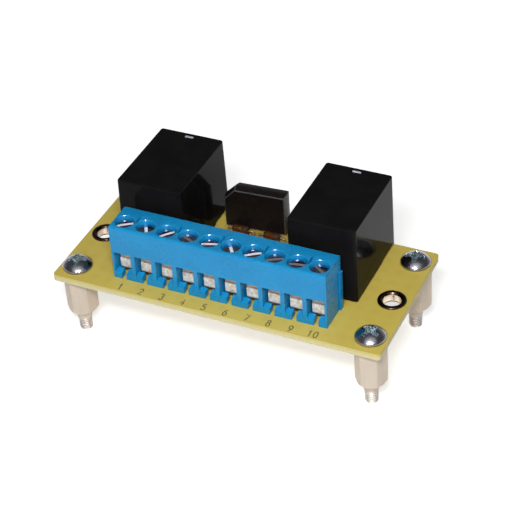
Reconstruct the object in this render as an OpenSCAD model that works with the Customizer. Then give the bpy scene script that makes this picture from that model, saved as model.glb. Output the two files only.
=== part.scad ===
// Relay module board: a single sided circuit board on four hex standoffs, with two
// sealed power relays, a row of screw terminals, a bridge rectifier and two coil diodes.
// Origin: on the surface under the stud tips, below the middle of the board.
// +X runs along the board, +Y points away from the terminal row, +Z is up.

/* [Board] */
// Length of the board along X
board_w = 77.6; // [76.6:0.1:90]
// Depth of the board along Y
board_d = 36.5; // [34:0.1:44]
// Thickness of the laminate
board_t = 1.6; // [1:0.1:2.4]
// Radius of the board's corners
board_corner_r = 0.8; // [0.3:0.1:2]
// Diameter of the four fixing holes
fixing_hole_d = 3.3; // [3.2:0.1:3.6]
// Fixing hole centre to the board's short edge
fixing_inset_x = 3.85; // [3.5:0.05:4.2]
// Fixing hole centre to the board's long edge
fixing_inset_y = 4.7; // [4:0.1:5.2]
// Shift of the terminal row from the board's middle along X
row_shift = 0.1; // [-1:0.1:1]
// Clear space between the terminal blocks and the relays behind them
row_to_relays = 1.95; // [1.5:0.05:2.2]

/* [Edge eyelets] */
// Eyelet centre to the board's short edge
eyelet_inset_x = 4; // [3.6:0.1:4.4]
// Eyelet centre from the middle of the board along Y
eyelet_y = -0.6; // [-1.5:0.1:1.5]
// Bore through the eyelet
eyelet_bore_d = 3.9; // [3:0.1:4.2]
// Wall of the eyelet's barrel
eyelet_wall = 0.25; // [0.15:0.05:0.4]
// Diameter of the eyelet's head
eyelet_flange_d = 6.4; // [5.6:0.1:6.8]
// Diameter of the rolled rim below the board
eyelet_rolled_d = 5.6; // [5.2:0.1:6]
// Thickness of the eyelet's head and rim
eyelet_flange_t = 0.45; // [0.3:0.05:0.7]

/* [Standoffs and board screws] */
// Standoff hexagon across its flats
standoff_af = 6.35; // [5.5:0.05:6.6]
// Length of the hexagonal body
standoff_len = 12; // [10:0.1:20]
// Diameter of the turned end at the stud
standoff_end_d = 3.3; // [3.2:0.1:5.2]
// Height of the cone that turns the hexagon into that end
standoff_cone_h = 2.3; // [1:0.1:3]
// Diameter of the studs
thread_d = 3; // [2.5:0.1:3.1]
// Diameter of the tapped hole in a standoff, at the core of its thread
tapped_d = 2.5; // [2:0.1:2.6]
// Length of the stud below the hexagon
stud_len = 4; // [3:0.1:8]
// Chamfer at the tip of a stud or screw
tip_chamfer = 0.35; // [0.1:0.05:0.6]
// Radial gap between a screw's thread and its tapped hole
thread_gap = 0.05; // [0.02:0.01:0.1]
// Depth of the tapped hole in the standoff
tapped_depth = 7; // [5.5:0.1:8.5]
// Length of a board screw under its head
screw_len = 6; // [4:0.1:6.5]
// Diameter of the board screw's head
screw_head_d = 6.8; // [5.6:0.1:7.2]
// Height of the head's straight rim
screw_rim_h = 0.6; // [0.3:0.1:1]
// Height of the whole head
screw_head_h = 2.2; // [1.6:0.1:2.8]
// Width of the wings of the cross recess
cross_w = 0.8; // [0.6:0.1:1]
// Span of the cross recess over its wings
cross_span = 3.6; // [3:0.1:4]
// Depth of the cross recess
cross_depth = 1.3; // [0.8:0.1:1.6]

/* [Terminal blocks] */
// Distance between neighbouring poles
pitch = 5.08; // [5:0.01:5.3]
// Depth of a block from front to back
block_d = 8; // [7.8:0.1:9]
// Height of a block
block_h = 13.8; // [13.2:0.1:16]
// Radius of the block's upper front edge
block_front_r = 0.6; // [0.2:0.1:0.6]
// Radius of the block's upper back edge
block_back_r = 0.25; // [0.1:0.05:0.4]
// Width of a wire opening and of the chamber behind it
opening_w = 4.1; // [4.1:0.05:4.4]
// Height of the lip below the wire opening at the front face
lip_front_h = 1.5; // [1.2:0.1:1.8]
// Height of the lip at its inner edge
lip_back_h = 1.95; // [1.9:0.05:2.2]
// Thickness of the lip from front to back
lip_t = 1.55; // [1.3:0.05:1.6]
// Top of the wire opening above the board
opening_top = 6.95; // [6.5:0.05:7.3]
// Width of the slot that splits the lip below each opening
lip_slot_w = 1.1; // [0.8:0.1:1.5]
// Thickness of the front wall above the opening
front_wall_t = 1; // [0.8:0.05:1.1]
// Depth of the chamber from the front face to its back wall
chamber_depth = 5.55; // [5.5:0.05:5.7]
// Thickness of the shelf that the terminal screw's head bears on
shelf_t = 0.9; // [0.8:0.1:1.5]
// Depth of the screw well from the top of the block
well_depth = 2.4; // [1.8:0.1:2.6]
// Diameter of the screw well
well_d = 4.2; // [4.1:0.05:4.5]
// Chamfer around the mouth of the screw well
well_chamfer = 0.2; // [0.1:0.05:0.3]
// Screw axis behind the front face
screw_axis_y = 3; // [3:0.05:3.4]
// Width of the slit between the two poles of a block
slit_w = 0.5; // [0.3:0.1:0.7]
// Length of that slit from front to back
slit_len = 2.8; // [2:0.1:3.2]
// Depth of that slit
slit_depth = 1.5; // [0.5:0.1:3]
// How far the interlocking rib stands out of a block's side
rib_out = 0.45; // [0.3:0.05:0.6]
// Width of the rib at its root
rib_root_w = 0.8; // [0.6:0.05:1]
// Width of the rib at its face
rib_face_w = 1.25; // [1.1:0.05:1.4]
// Height of the rib
rib_h = 10; // [6:0.1:12]
// Gap between a rib and the groove of its neighbour
rib_gap = 0.04; // [0.02:0.01:0.08]

/* [Terminal metal parts] */
// Diameter of the terminal screw's thread
clamp_screw_d = 2.5; // [2.2:0.1:2.5]
// Diameter of the terminal screw's head
clamp_head_d = 3.8; // [3.5:0.05:3.9]
// Height of the terminal screw's head
clamp_head_h = 1.5; // [1.2:0.1:1.8]
// Width of the driver slot
driver_slot_w = 0.7; // [0.5:0.05:0.9]
// Depth of the driver slot
driver_slot_depth = 0.8; // [0.5:0.1:1]
// Radial gap around the screw's shank in the shelf
shank_gap = 0.1; // [0.05:0.05:0.3]
// Screw tip above the contact tongue
tip_clear = 0.6; // [0.3:0.1:1]
// Underside of the contact tongue above the board
tongue_z = 4.9; // [4.8:0.05:5]
// Thickness of the contact's sheet
contact_t = 0.9; // [0.6:0.05:0.95]
// Width of the contact's tongue and leg
contact_w = 2.5; // [2:0.1:2.6]
// Gap between the contact's leg and its slot, on each side
leg_gap = 0.1; // [0.05:0.05:0.2]
// Front end of the tongue behind the front face
tongue_front = 1.75; // [1.6:0.05:2]
// Side of the contact's square solder pin
contact_pin_w = 0.9; // [0.7:0.05:1]
// Gap on each side between the clamp and its chamber
clamp_side_gap = 0.2; // [0.1:0.05:0.3]
// Wall of the bent sheet that makes the clamp
clamp_wall = 0.45; // [0.35:0.05:0.5]
// Thickness of the clamp's tapped top
clamp_top_t = 1; // [0.8:0.1:1.2]
// Thickness of the clamp's jaw
jaw_t = 0.6; // [0.5:0.05:0.8]
// Gap between jaw and tongue as the clamp stands
jaw_gap = 0.45; // [0.4:0.05:0.6]
// Room above the clamp as it stands
clamp_head_room = 0.6; // [0.5:0.05:0.8]
// Front of the jaw and its apron behind the front face
apron_front = 1.7; // [1.65:0.05:1.8]
// Thickness of the apron
apron_t = 0.55; // [0.4:0.05:0.7]
// Width of the apron
apron_w = 3; // [2.6:0.1:3.4]
// Height of the apron with the jaw
apron_h = 2.7; // [2.4:0.1:2.8]
// Front edge of the clamp's side walls behind the front face
clamp_side_front = 2.5; // [2.3:0.05:3]

/* [Relays] */
// Width of a relay along X
relay_w = 16; // [15:0.1:16.6]
// Depth of a relay along Y
relay_d = 22.5; // [20:0.1:23.5]
// Height of a relay above the board
relay_h = 18.8; // [15:0.1:22]
// Clear space between the two relays
relay_spacing = 24.6; // [23.5:0.1:26]
// Draft of the relay cover on each side
cover_draft = 0.25; // [0:0.05:0.4]
// Radius of the cover's upright edges
cover_edge_r = 0.5; // [0.3:0.1:0.8]
// Height of the rounding at the cover's top
cover_top_round = 0.3; // [0.1:0.05:0.5]
// Wall of the cover around the base
cover_skirt_t = 0.9; // [0.6:0.1:1.2]
// Height of the feet under the relay
relay_foot_h = 0.35; // [0.2:0.05:0.6]
// Diameter of a relay foot
relay_foot_d = 1.6; // [1:0.1:2]
// Thickness of the relay's base
relay_base_t = 2; // [1.5:0.1:3]
// Gap between the base and the cover's skirt
relay_base_gap = 0.05; // [0.03:0.01:0.1]
// Height of the notch in the lower edge of the cover's sides
cover_notch_h = 0.5; // [0.3:0.1:0.8]
// Length of that notch
cover_notch_len = 6.5; // [4:0.1:8]
// Width of the vent bar on the cover
vent_w = 2.2; // [1.5:0.1:3]
// Depth of the vent bar
vent_d = 0.7; // [0.4:0.1:1]
// Height of the vent bar above the cover
vent_h = 0.12; // [0.08:0.01:0.2]
// Vent bar's middle from the relay's back face
vent_from_back = 1.8; // [1.2:0.1:3]
// Relay's common pin from its back face
common_pin_from_back = 4.65; // [3.5:0.05:5.5]
// Common pin to the coil pins along Y
coil_pin_step = 2; // [1.8:0.1:2.4]
// Common pin to the switched contact pins along Y
contact_pin_step = 14.2; // [12:0.1:15]
// Distance between the two coil pins and between the two contact pins
relay_pin_spread = 12; // [10:0.1:12.4]
// Diameter of the contact pins
relay_contact_pin_d = 1; // [0.8:0.1:1.2]
// Diameter of the coil pins
relay_coil_pin_d = 0.7; // [0.5:0.1:0.9]

/* [Bridge rectifier] */
// Length of the rectifier's body
rectifier_w = 15; // [13:0.1:16]
// Thickness of the body at its parting line
rectifier_t = 3.5; // [3:0.1:4]
// Height of the body
rectifier_h = 10.5; // [8:0.1:12]
// Chamfer that marks the positive end
rectifier_chamfer = 2.6; // [1.5:0.1:3]
// Draft of each half of the moulding
rectifier_draft = 0.3; // [0.1:0.05:0.4]
// Width of the land along the parting line
rectifier_land = 0.5; // [0.3:0.1:0.8]
// Gap between the body and the board
rectifier_lift = 0.4; // [0.2:0.1:1.5]
// Middle of the rectifier along X
rectifier_x = -2.8; // [-3.5:0.1:-2]
// Middle of the rectifier from the board's back edge
rectifier_from_back = 4.95; // [4.4:0.05:5.4]
// Turn of the hand soldered rectifier about the vertical
rectifier_turn = 3.5; // [0:0.5:4]
// Distance between neighbouring leads
rectifier_pitch = 3.81; // [3.6:0.01:4]
// Diameter of a lead
rectifier_lead_d = 0.8; // [0.6:0.1:0.9]
// Width of the lead's shoulder under the body
rectifier_shoulder_w = 1.5; // [1.2:0.1:1.8]

/* [Coil diodes] */
// Length of the glass body
diode_len = 4; // [3.5:0.1:4.2]
// Diameter of the glass body
diode_d = 1.9; // [1.6:0.1:2]
// Radius of the glass body's ends
diode_end_r = 0.35; // [0.2:0.05:0.5]
// Diameter of the lead
diode_lead_d = 0.5; // [0.4:0.05:0.6]
// Distance between the two leads of a diode
diode_pitch = 6.35; // [6.2:0.05:6.5]
// Inner bend radius of a lead
diode_bend_r = 0.4; // [0.3:0.05:0.5]
// Gap between the glass and the board
diode_lift = 0.25; // [0.1:0.05:0.5]
// Middle of the two diodes along X
diode_mid_x = -1.75; // [-2:0.05:-1.5]
// Distance between the middles of the two diodes
diode_spacing = 7.7; // [7.6:0.05:8]
// Diodes in front of the rectifier's middle
diode_to_rectifier = 3.3; // [3.1:0.05:3.6]

/* [Copper and solder] */
// Thickness of the copper under the board
copper_t = 0.07; // [0.035:0.005:0.1]
// Width of the power tracks
power_track_w = 2.2; // [1.5:0.1:2.6]
// Width of the coil and supply tracks
signal_track_w = 1; // [0.6:0.1:1.2]
// Middle of the common track from the board's back edge
bus_from_back = 1.9; // [1.5:0.1:2.4]
// Width of the copper ring around a hole
pad_ring = 0.6; // [0.4:0.05:0.8]
// Radial gap between a lead and its drilled hole
drill_gap = 0.15; // [0.1:0.01:0.2]
// Height of a solder joint
solder_h = 0.9; // [0.6:0.1:1.2]
// Length of every lead below the board
lead_out = 1.4; // [1.2:0.1:2]
// Gap between solder and lead
solder_gap = 0.01; // [0.005:0.005:0.02]

/* [Hidden] */
$fn = 48;
eps = 0.01;
block_count = 5;
poles_per_block = 2;
pole_count = block_count * poles_per_block;
side_names = ["left", "right"];
corner_names = ["front_left", "front_right", "back_left", "back_right"];
// How each hexagon happened to stop when it was screwed up tight, in corner_names' order
standoff_turns = [14, 10, 24, 5];
// How each board screw's recess happened to stop
recess_turns = [20, 62, 35, 8];
// Where each terminal screw's driver slot points, counted from +X
slot_turns = [8, 88, 14, -52, 2, -66, 8, 6, 2, -42];

board_top = stud_len + standoff_len + board_t;
lead_len = board_t + lead_out;
// How far a track's rounded knee stands out past its edges
knee_out = 0.03;

// Terminal block heights above the board
shelf_top = block_h - well_depth;
chamber_top = shelf_top - shelf_t;
tongue_top = tongue_z + contact_t;
shank_len = shelf_top - tongue_top - tip_clear;
clamp_top = chamber_top - clamp_head_room;
jaw_top = tongue_z - jaw_gap;

// Terminal block depths behind its front face
block_w = poles_per_block * pitch;
leg_back = chamber_depth + contact_t;
clamp_back = chamber_depth - clamp_side_gap;
clamp_front = front_wall_t + clamp_side_gap;
clamp_w = opening_w - 2 * clamp_side_gap;
contact_pin_y = chamber_depth + contact_t / 2;
rib_y = (leg_back + block_d) / 2;

row_x = row_shift - block_count * block_w / 2;
row_y = board_d / 2 - relay_d - row_to_relays - block_d;
function pole_x(k) = row_x + (k + 0.5) * pitch;
pole_pin_y = row_y + contact_pin_y;

// Corners of the board that the four screws and standoffs share
fixing_x = board_w / 2 - fixing_inset_x;
fixing_y = board_d / 2 - fixing_inset_y;
fixings = [[-fixing_x, -fixing_y], [fixing_x, -fixing_y], [-fixing_x, fixing_y], [fixing_x, fixing_y]];
eyelet_x = board_w / 2 - eyelet_inset_x;
eyelet_barrel_d = eyelet_bore_d + 2 * eyelet_wall;

// Relay pins, with the common pin first, then the coil pins, then the contact pins
relay_mid_x = (relay_spacing + relay_w) / 2;
relay_mid_y = board_d / 2 - relay_d / 2;
common_y = board_d / 2 - common_pin_from_back;
coil_y = common_y - coil_pin_step;
contact_y = common_y - contact_pin_step;
function side_sign(side) = side == 0 ? -1 : 1;
function relay_x(side) = side_sign(side) * relay_mid_x;
function coil_pins(side) = [for (s = [-1, 1]) [relay_x(side) + s * relay_pin_spread / 2, coil_y]];
function contact_pins(side) = concat([[relay_x(side), common_y]],
    [for (s = [-1, 1]) [relay_x(side) + s * relay_pin_spread / 2, contact_y]]);

// Rectifier leads from the chamfered end on, and the leads of the two diodes
rectifier_y = board_d / 2 - rectifier_from_back;
lead_steps = [-1.5, -0.5, 0.5, 1.5];
rectifier_leads_at = [for (i = lead_steps)
    [rectifier_x + i * rectifier_pitch * cos(rectifier_turn),
     rectifier_y + i * rectifier_pitch * sin(rectifier_turn)]];
diode_y = rectifier_y - diode_to_rectifier;
diode_z = diode_lift + diode_d / 2;
function diode_x(side) = diode_mid_x + side_sign(side) * diode_spacing / 2;
function diode_leads_at(side) = [for (s = [-1, 1]) [diode_x(side) + s * diode_pitch / 2, diode_y]];

// Every soldered lead as [place, size of the lead across, 1 if it is square]
round_leads = concat(
    [for (side = [0, 1], p = contact_pins(side)) [p, relay_contact_pin_d, 0]],
    [for (side = [0, 1], p = coil_pins(side)) [p, relay_coil_pin_d, 0]],
    [for (p = rectifier_leads_at) [p, rectifier_lead_d, 0]],
    [for (side = [0, 1], p = diode_leads_at(side)) [p, diode_lead_d, 0]]);
square_leads = [for (k = [0:pole_count - 1]) [[pole_x(k), pole_pin_y], contact_pin_w, 1]];
leads = concat(square_leads, round_leads);
function drill_r(lead) = (lead[2] == 1 ? lead[1] / sqrt(2) : lead[1] / 2) + drill_gap;
function pad_r(lead) = drill_r(lead) + pad_ring;

board_colour = "#b8a84a";
copper_colour = "#b87333";
solder_colour = "#c8c8c4";
block_colour = "#2f8fc8";
tinned_colour = "#cfc6b8";
steel_colour = "#c9ccd0";
standoff_colour = "#cfc3b2";
black_colour = "#141414";
glass_colour = "#a8591f";

// Shapes that several sub-parts share

module on_board() {
    translate([0, 0, board_top]) children();
}

// A box centred on x = 0, from y0 to y1 and from z0 to z1
module strip(w, y0, y1, z0, z1) {
    translate([-w / 2, y0, z0]) cube([w, y1 - y0, z1 - z0]);
}

// A round stem that hangs down from z = 0 and ends in a chamfer
module stem(d, len, chamfer) {
    translate([0, 0, -len + chamfer]) cylinder(d = d, h = len - chamfer);
    translate([0, 0, -len]) cylinder(d1 = d - 2 * chamfer, d2 = d, h = chamfer);
}

module at_pole(k) {
    on_board() translate([pole_x(k), row_y, 0]) children();
}

// The board with its copper and solder

module board_outline() {
    r = board_corner_r;
    square([board_w - 2 * r, board_d], center = true);
    square([board_w, board_d - 2 * r], center = true);
    for (x = [-1, 1], y = [-1, 1])
        translate([x * (board_w / 2 - r), y * (board_d / 2 - r)]) circle(r);
}

module circuit_board() {
    color(board_colour)
    translate([0, 0, board_top - board_t])
    difference() {
        linear_extrude(board_t) board_outline();
        for (p = fixings)
            translate([p[0], p[1], -eps]) cylinder(d = fixing_hole_d, h = board_t + 2 * eps);
        for (s = [-1, 1])
            translate([s * eyelet_x, eyelet_y, -eps]) cylinder(d = eyelet_barrel_d, h = board_t + 2 * eps);
        for (lead = leads)
            translate([lead[0][0], lead[0][1], -eps]) cylinder(r = drill_r(lead), h = board_t + 2 * eps);
    }
}

// One copper track through a list of points, with a round knee at each bend
module track(points, w) {
    for (i = [1:1:len(points) - 2]) translate(points[i]) circle(d = w + 2 * knee_out);
    for (i = [1:len(points) - 1]) {
        a = points[i - 1];
        b = points[i];
        translate(a) rotate(atan2(b[1] - a[1], b[0] - a[0]))
            translate([0, -w / 2]) square([norm(b - a), w]);
    }
}

module contact_tracks() {
    for (side = [0, 1]) {
        s = side_sign(side);
        outer = side == 0 ? 0 : pole_count - 1;
        pins = contact_pins(side);
        outer_pin = side == 0 ? pins[1] : pins[2];
        inner_pin = side == 0 ? pins[2] : pins[1];
        outer_pole = [pole_x(outer), pole_pin_y];
        middle_pole = [pole_x(outer - s), pole_pin_y];
        inner_pole = [pole_x(outer - 2 * s), pole_pin_y];
        track([outer_pole, [outer_pin[0], pole_pin_y + pitch / 2], outer_pin], power_track_w);
        track([middle_pole, [pins[0][0], pole_pin_y + pitch / 2], pins[0]], power_track_w);
        track([inner_pole, [inner_pin[0], pole_pin_y + pitch / 2], inner_pin], power_track_w);
    }
}

module coil_tracks() {
    bus_y = board_d / 2 - bus_from_back;
    left_coil = coil_pins(0);
    right_coil = coil_pins(1);
    left_diode = diode_leads_at(0);
    right_diode = diode_leads_at(1);
    plus = rectifier_leads_at[0];
    // The positive side runs along the back edge to both coils and to the diodes' cathodes
    track([left_coil[0], [left_coil[0][0], bus_y], [right_coil[1][0], bus_y], right_coil[1]], signal_track_w);
    track([plus, [plus[0], bus_y]], signal_track_w);
    track([right_diode[0], left_diode[1], [rectifier_x, rectifier_y], [rectifier_x, bus_y]], signal_track_w);
    // The other end of each coil shares a pole with its diode's anode
    left_pole = [pole_x(3), pole_pin_y];
    right_pole = [pole_x(6), pole_pin_y];
    track([left_pole, [left_diode[0][0], 0], left_diode[0], left_coil[1]], signal_track_w);
    track([right_pole, [right_diode[1][0], 0], right_diode[1], right_coil[0]], signal_track_w);
    // The two supply poles feed the rectifier's middle leads
    first = rectifier_leads_at[1];
    second = rectifier_leads_at[2];
    between = (right_diode[0][0] + right_diode[1][0]) / 2;
    track([[pole_x(4), pole_pin_y], [first[0], 0], first], signal_track_w);
    track([[pole_x(5), pole_pin_y], [between, 0], [between, diode_y], second], signal_track_w);
}

module copper_tracks() {
    color(copper_colour)
    translate([0, 0, board_top - board_t - copper_t])
    linear_extrude(copper_t)
    difference() {
        union() {
            contact_tracks();
            coil_tracks();
            for (lead = leads) translate(lead[0]) circle(pad_r(lead));
        }
        for (lead = leads) translate(lead[0]) circle(drill_r(lead));
    }
}

module solder_joints() {
    color(solder_colour)
    translate([0, 0, board_top - board_t - copper_t - solder_h])
    for (lead = leads)
        translate([lead[0][0], lead[0][1], 0])
        difference() {
            cylinder(r1 = drill_r(lead), r2 = pad_r(lead), h = solder_h);
            if (lead[2] == 1)
                strip(lead[1] + 2 * solder_gap, -lead[1] / 2 - solder_gap, lead[1] / 2 + solder_gap,
                      -eps, solder_h + eps);
            else
                translate([0, 0, -eps]) cylinder(d = lead[1] + 2 * solder_gap, h = solder_h + 2 * eps);
        }
}

// Terminal blocks

// Side view of a block, with y to the right and z up
module block_profile() {
    f = block_front_r;
    b = block_back_r;
    square([block_d, block_h - f]);
    translate([f, 0]) square([block_d - f - b, block_h]);
    translate([f, 0]) square([block_d - f, block_h - b]);
    translate([f, block_h - f]) circle(f);
    translate([block_d - b, block_h - b]) circle(b);
}

// Dovetail seen from above, standing out of a face at x = 0
module dovetail(out, root_w, face_w) {
    polygon([[-eps, -root_w / 2], [0, -root_w / 2], [out, -face_w / 2],
             [out, face_w / 2], [0, root_w / 2], [-eps, root_w / 2]]);
}

// The chamber, wire opening and screw well of one pole, centred on x = 0
module pole_cut() {
    strip(opening_w, front_wall_t, chamber_depth, opening_top - eps, chamber_top);
    strip(opening_w, lip_t, chamber_depth, -eps, opening_top);
    translate([-opening_w / 2, 0, 0]) rotate([90, 0, 90]) linear_extrude(opening_w)
        polygon([[-eps, lip_front_h], [lip_t + eps, lip_back_h],
                 [lip_t + eps, opening_top], [-eps, opening_top]]);
    strip(lip_slot_w, -eps, lip_t + eps, -eps, lip_back_h + eps);
    strip(contact_w + 2 * leg_gap, chamber_depth - eps, leg_back, -eps, tongue_top);
    translate([0, screw_axis_y, 0]) {
        translate([0, 0, shelf_top]) cylinder(d = well_d, h = well_depth + eps);
        translate([0, 0, block_h - well_chamfer])
            cylinder(d1 = well_d, d2 = well_d + 2 * well_chamfer, h = well_chamfer);
        translate([0, 0, chamber_top - eps])
            cylinder(d = clamp_screw_d + 2 * shank_gap, h = shelf_t + 2 * eps);
    }
}

module terminal_housing(n) {
    color(block_colour)
    on_board()
    translate([row_x + (n - 1) * block_w, row_y, 0])
    difference() {
        union() {
            rotate([90, 0, 90]) linear_extrude(block_w) block_profile();
            translate([block_w, rib_y, 0]) linear_extrude(rib_h)
                dovetail(rib_out, rib_root_w, rib_face_w);
        }
        for (i = [0:poles_per_block - 1])
            translate([(i + 0.5) * pitch, 0, 0]) pole_cut();
        translate([block_w / 2, screw_axis_y, block_h - slit_depth])
            strip(slit_w, 0, slit_len, 0, slit_depth + eps);
        translate([0, rib_y, -eps]) linear_extrude(rib_h + rib_gap + eps)
            dovetail(rib_out + rib_gap, rib_root_w + 2 * rib_gap, rib_face_w + 2 * rib_gap);
    }
}

// Bent strip: a tongue over the wire, a leg down the back and a square solder pin
module terminal_contact(n) {
    color(tinned_colour)
    at_pole(n - 1) {
        strip(contact_w, tongue_front, leg_back, tongue_z, tongue_top);
        strip(contact_w, chamber_depth, leg_back, 0, tongue_z + eps);
        pin = contact_pin_w / 2;
        strip(contact_pin_w, contact_pin_y - pin, contact_pin_y + pin, -lead_len, eps);
    }
}

// Cage that the screw lifts: tapped top, two side walls, jaw and apron
module terminal_clamp(n) {
    color(tinned_colour)
    at_pole(n - 1)
    difference() {
        union() {
            strip(clamp_w, clamp_front, clamp_back, clamp_top - clamp_top_t, clamp_top);
            for (s = [-1, 1])
                translate([s * (clamp_w - clamp_wall) / 2, 0, 0])
                    strip(clamp_wall, clamp_side_front, clamp_back, jaw_top - jaw_t, clamp_top);
            strip(clamp_w, clamp_side_front, clamp_back, jaw_top - jaw_t, jaw_top);
            strip(apron_w, apron_front, clamp_side_front + eps, jaw_top - jaw_t, jaw_top);
            strip(apron_w, apron_front, apron_front + apron_t, jaw_top - apron_h, jaw_top);
        }
        translate([0, screw_axis_y, clamp_top - clamp_top_t - eps])
            cylinder(d = clamp_screw_d + 2 * thread_gap, h = clamp_top_t + 2 * eps);
    }
}

module terminal_screw(n) {
    color(steel_colour)
    at_pole(n - 1)
    translate([0, screw_axis_y, shelf_top])
    difference() {
        union() {
            cylinder(d = clamp_head_d, h = clamp_head_h);
            stem(clamp_screw_d, shank_len, tip_chamfer);
        }
        rotate(slot_turns[n - 1])
            translate([0, 0, clamp_head_h - driver_slot_depth])
            strip(clamp_head_d + 1, -driver_slot_w / 2, driver_slot_w / 2, 0, driver_slot_depth + eps);
    }
}

// Relays

// A thin slice of the cover at height z, drawn in by inset on every side
module cover_slice(z, inset) {
    x = relay_w / 2 - inset - cover_edge_r;
    y = relay_d / 2 - inset - cover_edge_r;
    for (i = [-1, 1], j = [-1, 1])
        translate([i * x, j * y, z]) cylinder(r = cover_edge_r, h = eps, $fn = 32);
}

module at_relay(side) {
    on_board() translate([relay_x(side), relay_mid_y, 0]) children();
}

module relay_cover(side) {
    pocket_w = relay_w - 2 * cover_skirt_t;
    pocket_d = relay_d - 2 * cover_skirt_t;
    draft_top = cover_draft * (1 - cover_top_round / relay_h);
    color(black_colour)
    at_relay(side) {
        difference() {
            hull() {
                cover_slice(relay_foot_h, 0);
                cover_slice(relay_h - cover_top_round, draft_top);
                cover_slice(relay_h - eps, cover_draft + cover_top_round);
            }
            strip(pocket_w, -pocket_d / 2, pocket_d / 2, 0, relay_foot_h + relay_base_t);
            strip(relay_w + 1, relay_d / 2 - cover_skirt_t - cover_notch_len, relay_d / 2 - cover_skirt_t,
                  0, relay_foot_h + cover_notch_h);
        }
        translate([0, relay_d / 2 - vent_from_back, 0])
            strip(vent_w, -vent_d / 2, vent_d / 2, relay_h - cover_top_round, relay_h + vent_h);
    }
}

module relay_base(side) {
    base_w = relay_w - 2 * cover_skirt_t - 2 * relay_base_gap;
    base_d = relay_d - 2 * cover_skirt_t - 2 * relay_base_gap;
    color(black_colour)
    difference() {
        at_relay(side) {
            strip(base_w, -base_d / 2, base_d / 2, relay_foot_h, relay_foot_h + relay_base_t);
            for (i = [-1, 1], j = [-1, 1])
                translate([i * (base_w - relay_foot_d) / 2, j * (base_d - relay_foot_d) / 2, 0])
                    cylinder(d = relay_foot_d, h = relay_foot_h + eps);
        }
        on_board() {
            for (p = contact_pins(side)) translate([p[0], p[1], 0])
                cylinder(d = relay_contact_pin_d + 2 * solder_gap, h = relay_foot_h + relay_base_t + eps);
            for (p = coil_pins(side)) translate([p[0], p[1], 0])
                cylinder(d = relay_coil_pin_d + 2 * solder_gap, h = relay_foot_h + relay_base_t + eps);
        }
    }
}

module relay_pins(side) {
    color(tinned_colour)
    on_board() {
        for (p = contact_pins(side)) translate([p[0], p[1], -lead_len])
            cylinder(d = relay_contact_pin_d, h = lead_len + relay_foot_h + relay_base_t);
        for (p = coil_pins(side)) translate([p[0], p[1], -lead_len])
            cylinder(d = relay_coil_pin_d, h = lead_len + relay_foot_h + relay_base_t);
    }
}

// Bridge rectifier

module at_rectifier() {
    on_board() translate([rectifier_x, rectifier_y, 0]) rotate(rectifier_turn) children();
}

// Front view of the moulding, drawn in by inset, with the chamfered corner on the left
module rectifier_outline(inset) {
    w = rectifier_w / 2 - inset;
    top = rectifier_lift + rectifier_h - inset;
    bottom = rectifier_lift + inset;
    c = rectifier_chamfer;
    polygon([[-w, bottom], [w, bottom], [w, top], [-w + c, top], [-w, top - c]]);
}

module rectifier_slab(y0, y1, inset) {
    translate([0, y1, 0]) rotate([90, 0, 0]) linear_extrude(y1 - y0) rectifier_outline(inset);
}

module rectifier_body() {
    half = rectifier_t / 2;
    color(black_colour)
    at_rectifier() {
        for (s = [-1, 1])
            hull() {
                rectifier_slab(-rectifier_land / 2, rectifier_land / 2, 0);
                rectifier_slab(s * half - (s > 0 ? eps : 0), s * half + (s > 0 ? 0 : eps), rectifier_draft);
            }
    }
}

module rectifier_leads() {
    color(tinned_colour)
    at_rectifier()
    for (i = lead_steps)
        translate([i * rectifier_pitch, 0, 0]) {
            translate([0, 0, -lead_len]) cylinder(d = rectifier_lead_d, h = lead_len + eps);
            strip(rectifier_shoulder_w, -rectifier_land / 2, rectifier_land / 2, 0, rectifier_lift);
        }
}

// Coil diodes

module at_diode(side) {
    on_board() translate([diode_x(side), diode_y, diode_z]) children();
}

module coil_diode(side) {
    r = diode_d / 2;
    color(glass_colour)
    at_diode(side) rotate([0, 90, 0])
    rotate_extrude() {
        translate([0, -diode_len / 2]) square([r - diode_end_r, diode_len]);
        translate([0, -diode_len / 2 + diode_end_r]) square([r, diode_len - 2 * diode_end_r]);
        for (s = [-1, 1])
            translate([r - diode_end_r, s * (diode_len / 2 - diode_end_r)]) circle(diode_end_r);
    }
}

// One lead: straight out of the glass, round a bend and down through the board
module diode_lead() {
    bend = diode_bend_r + diode_lead_d / 2;
    reach = diode_pitch / 2 - diode_len / 2 - bend;
    translate([diode_len / 2, 0, 0]) rotate([0, 90, 0]) cylinder(d = diode_lead_d, h = reach);
    translate([diode_len / 2 + reach, 0, -bend]) rotate([90, 0, 0])
        rotate_extrude(angle = 90) translate([bend, 0]) circle(d = diode_lead_d, $fn = 24);
    translate([diode_pitch / 2, 0, -diode_z - lead_len])
        cylinder(d = diode_lead_d, h = diode_z + lead_len - bend);
}

module diode_leads() {
    color(tinned_colour)
    for (side = [0, 1]) at_diode(side) {
        diode_lead();
        rotate(180) diode_lead();
    }
}

// Eyelets in the middle of the short edges

// Half section of a collar from the bore out, with its far outer edge rounded
module collar_section(outer_d) {
    t = eyelet_flange_t;
    inner = eyelet_bore_d / 2;
    straight = outer_d / 2 - t - inner;
    translate([inner, 0]) square([straight, t]);
    intersection() {
        translate([inner + straight, 0]) circle(t);
        translate([inner + straight - eps, 0]) square([t + eps, t]);
    }
}

module eyelet(side) {
    color(steel_colour)
    on_board()
    translate([side_sign(side) * eyelet_x, eyelet_y, 0])
    rotate_extrude() {
        translate([eyelet_bore_d / 2, -board_t - eps]) square([eyelet_wall, board_t + 2 * eps]);
        collar_section(eyelet_flange_d);
        translate([0, -board_t]) mirror([0, 1]) collar_section(eyelet_rolled_d);
    }
}

// Fixings

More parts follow.
